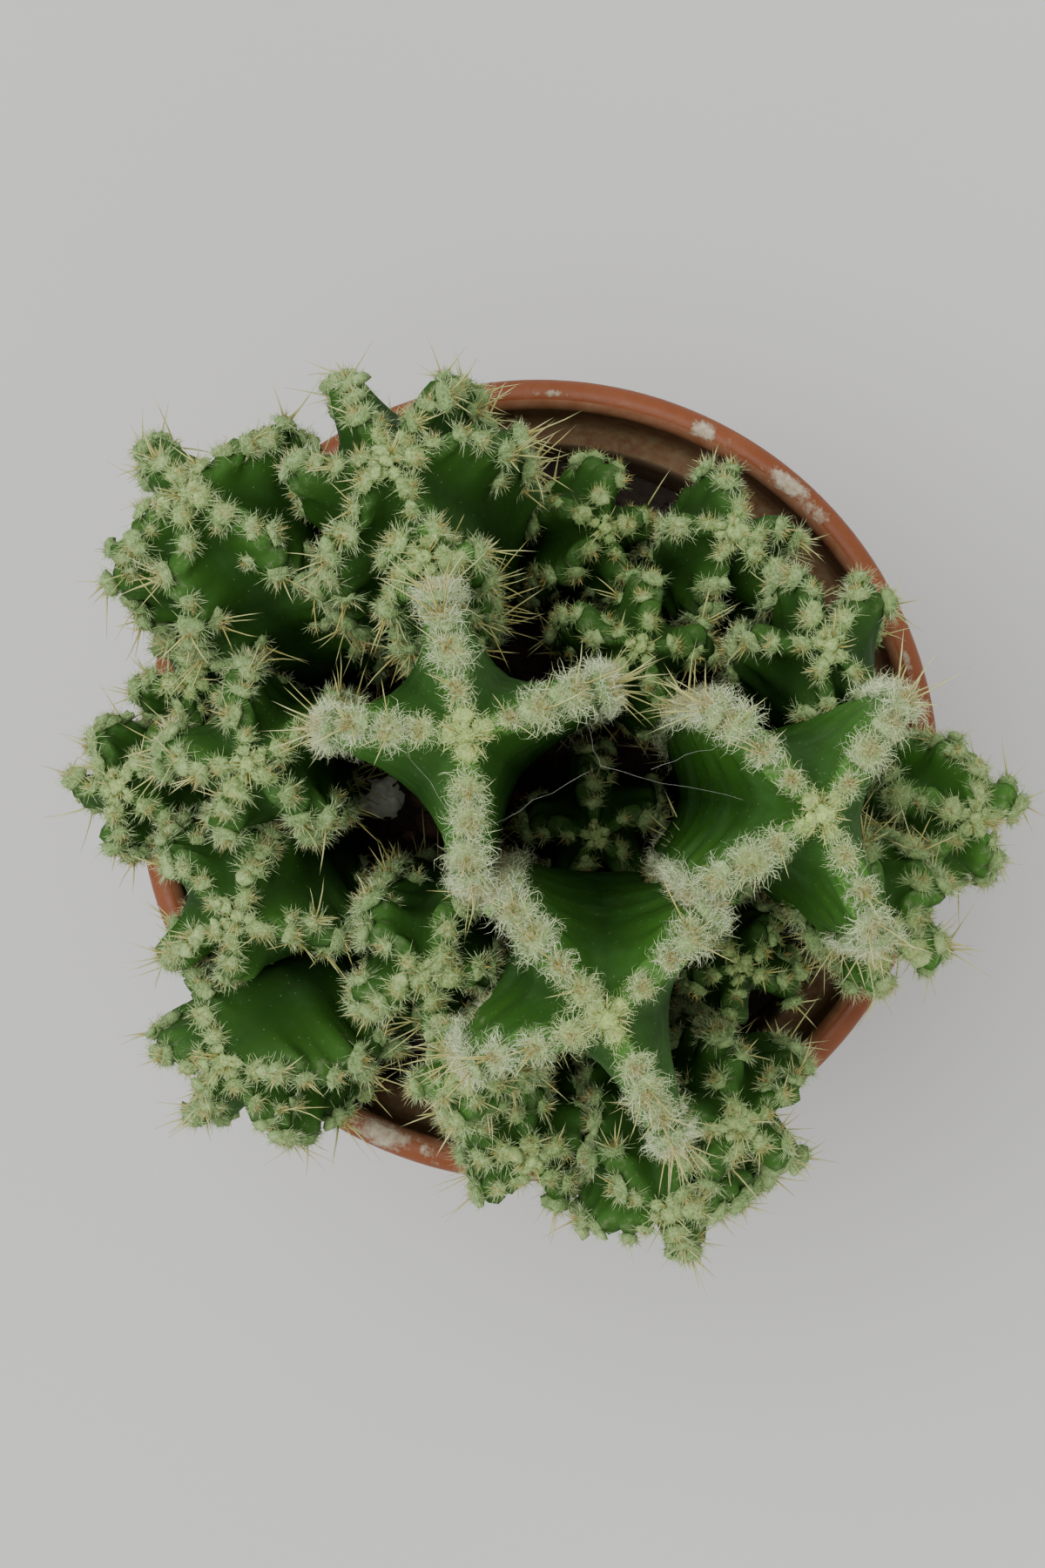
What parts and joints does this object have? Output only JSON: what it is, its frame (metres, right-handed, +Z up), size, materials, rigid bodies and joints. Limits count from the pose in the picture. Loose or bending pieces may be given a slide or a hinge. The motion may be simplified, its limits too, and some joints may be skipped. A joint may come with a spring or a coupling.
{
  "type": "potted fairy castle cactus",
  "caption": "Fairy castle cactus with ribbed, woolly, spiny stems standing in a small round plastic pot.",
  "frame": {"origin": "centre of the pot's flat underside", "axes": "+Z up through the pot and the tall stems; +X towards the stem that leans out over the rim at the right as seen from above, +Y towards the rear"},
  "size_m": [0.0942, 0.0915, 0.1362],
  "materials": {
    "pot_plastic": "satin",
    "cactus_skin": "matte",
    "potting_soil": "matte",
    "perlite": "matte",
    "bark": "matte"
  },
  "bodies": {
    "root": {"pot": "pot_plastic", "soil": "potting_soil", "perlite_lump": "perlite", "bark_lump": "bark", "stem_between": "cactus_skin", "stem_corner_left": "cactus_skin", "stem_front": "cactus_skin", "stem_front_left": "cactus_skin", "stem_front_right": "cactus_skin", "stem_inner": "cactus_skin", "stem_inner_left": "cactus_skin", "stem_inner_rear": "cactus_skin", "stem_left": "cactus_skin", "stem_left_low": "cactus_skin", "stem_rear": "cactus_skin", "stem_rear_left": "cactus_skin", "stem_rear_right": "cactus_skin", "stem_right_rear": "cactus_skin", "stem_tall_front": "cactus_skin", "stem_tall_left": "cactus_skin", "stem_tall_right": "cactus_skin"}
  },
  "joints": []
}
